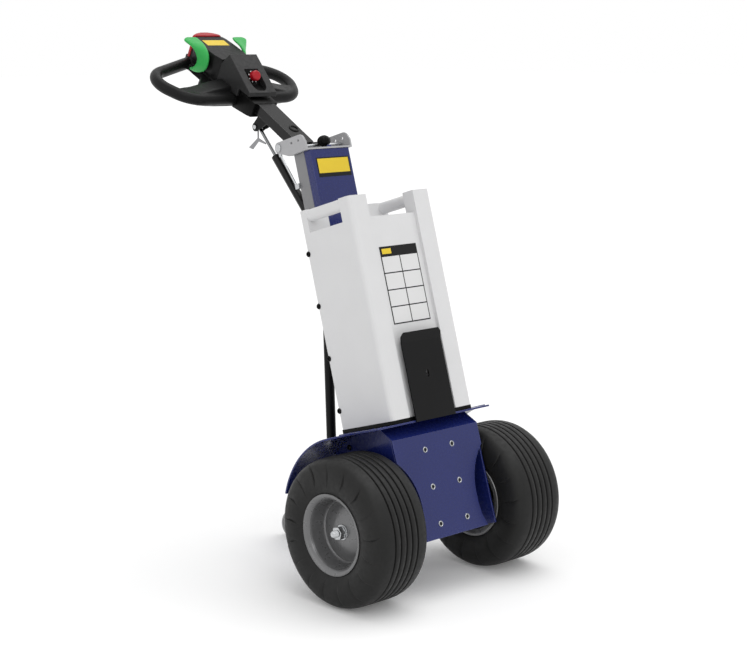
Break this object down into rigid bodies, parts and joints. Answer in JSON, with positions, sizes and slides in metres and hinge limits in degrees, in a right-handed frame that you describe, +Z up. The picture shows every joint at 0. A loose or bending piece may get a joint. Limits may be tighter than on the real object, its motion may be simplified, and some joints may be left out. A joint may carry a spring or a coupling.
{
  "type": "electric cart mover",
  "caption": "Walk-behind electric cart mover: a leaning battery and column over a driven wheel pair, a perforated hitch plate, a rear swivel castor and a hinged tiller with loop handle.",
  "frame": {"origin": "floor level, on the mirror plane, under the middle of the overall length", "axes": "+Z up, -Y is forward (the hitch plate's side), +Y is towards the operator, X is along the wheel axle"},
  "size_m": [0.581, 0.9872, 1.2278],
  "materials": {
    "tyre_rubber": "moulded black rubber",
    "rim_paint": "dark grey enamel",
    "zinc_steel": "zinc plated",
    "blue_paint": "dark blue powder coat",
    "grey_paint": "mid grey powder coat",
    "light_grey_paint": "light grey powder coat",
    "black_paint": "black powder coat",
    "cast_iron": "painted casting",
    "battery_white": "white moulding",
    "black_plastic": "black moulding",
    "dark_plastic": "charcoal moulding",
    "green_plastic": "green moulding",
    "red_plastic": "red moulding",
    "collar_white": "off-white moulding",
    "castor_tread": "grey polyurethane",
    "chrome_rod": "polished chrome"
  },
  "bodies": {
    "chassis": {"hitch_plate": "blue_paint", "rivet_nuts": "zinc_steel", "side_plate_left": "blue_paint", "side_plate_right": "blue_paint", "rear_panel": "blue_paint", "deck_plate": "blue_paint", "fender_left": "blue_paint", "fender_right": "blue_paint", "gear_case": "cast_iron", "drive_motor": "black_paint", "rear_arm": "blue_paint", "rear_strut": "black_paint", "column_lug": "black_paint", "castor_plate": "light_grey_paint", "battery_tray": "black_plastic", "battery_case": "battery_white", "battery_plugs": "black_plastic", "retaining_plate": "black_paint", "column_cover": "blue_paint", "column_post": "grey_paint", "top_bracket": "light_grey_paint", "pivot_shaft": "zinc_steel", "clamp_knob": "black_plastic"},
    "wheel_left": {"tyre_left": "tyre_rubber", "rim_left": "rim_paint", "wheel_shaft_left": "zinc_steel"},
    "wheel_right": {"tyre_right": "tyre_rubber", "rim_right": "rim_paint", "wheel_shaft_right": "zinc_steel"},
    "castor_swivel": {"castor_fork": "light_grey_paint"},
    "castor_roller": {"castor_wheel": "castor_tread"},
    "tiller": {"tiller_barrel": "black_paint", "tiller_tube": "black_paint", "tiller_lug": "black_paint", "head_clamp": "black_paint", "head_core": "dark_plastic", "control_panel": "dark_plastic", "switch_collar": "collar_white", "switch_knob": "red_plastic", "belly_button": "red_plastic", "handle_loop": "dark_plastic", "throttle_lever_left": "green_plastic", "throttle_lever_right": "green_plastic"},
    "gas_body": {"gas_cylinder": "black_paint"},
    "gas_piston": {"gas_rod": "chrome_rod", "release_lever": "zinc_steel"}
  },
  "joints": [
    {"name": "wheel_left_spin", "type": "hinge", "parent": "chassis", "child": "wheel_left", "pos_m": [-0.215, -0.32859, 0.165], "axis": [1, 0, 0], "continuous": true},
    {"name": "wheel_right_spin", "type": "hinge", "parent": "chassis", "child": "wheel_right", "pos_m": [0.215, -0.32859, 0.165], "axis": [1, 0, 0], "continuous": true},
    {"name": "castor_turn", "type": "hinge", "parent": "chassis", "child": "castor_swivel", "pos_m": [0, 0.09941, 0.079], "axis": [0, 0, 1], "continuous": true},
    {"name": "castor_roll", "type": "hinge", "parent": "castor_swivel", "child": "castor_roller", "pos_m": [0, 0.12941, 0.0325], "axis": [1, 0, 0], "continuous": true},
    {"name": "tiller_tilt", "type": "hinge", "parent": "chassis", "child": "tiller", "pos_m": [0, 0.08769, 0.96184], "axis": [1, 0, 0], "range_deg": [-15, 35]},
    {"name": "gas_body_swing", "type": "hinge", "parent": "chassis", "child": "gas_body", "pos_m": [0, 0.00539, 0.74102], "axis": [1, 0, 0], "range_deg": [-7, 15]},
    {"name": "gas_rod_slide", "type": "slide", "parent": "gas_body", "child": "gas_piston", "axis": [0, 0.6743, 0.7385], "range_m": [-0.021, 0.046]}
  ],
  "couplings": [
    {"joint": "gas_body_swing", "follows": "tiller_tilt", "ratio": 0.385},
    {"joint": "gas_rod_slide", "follows": "tiller_tilt", "m_per_rad": 0.072}
  ]
}
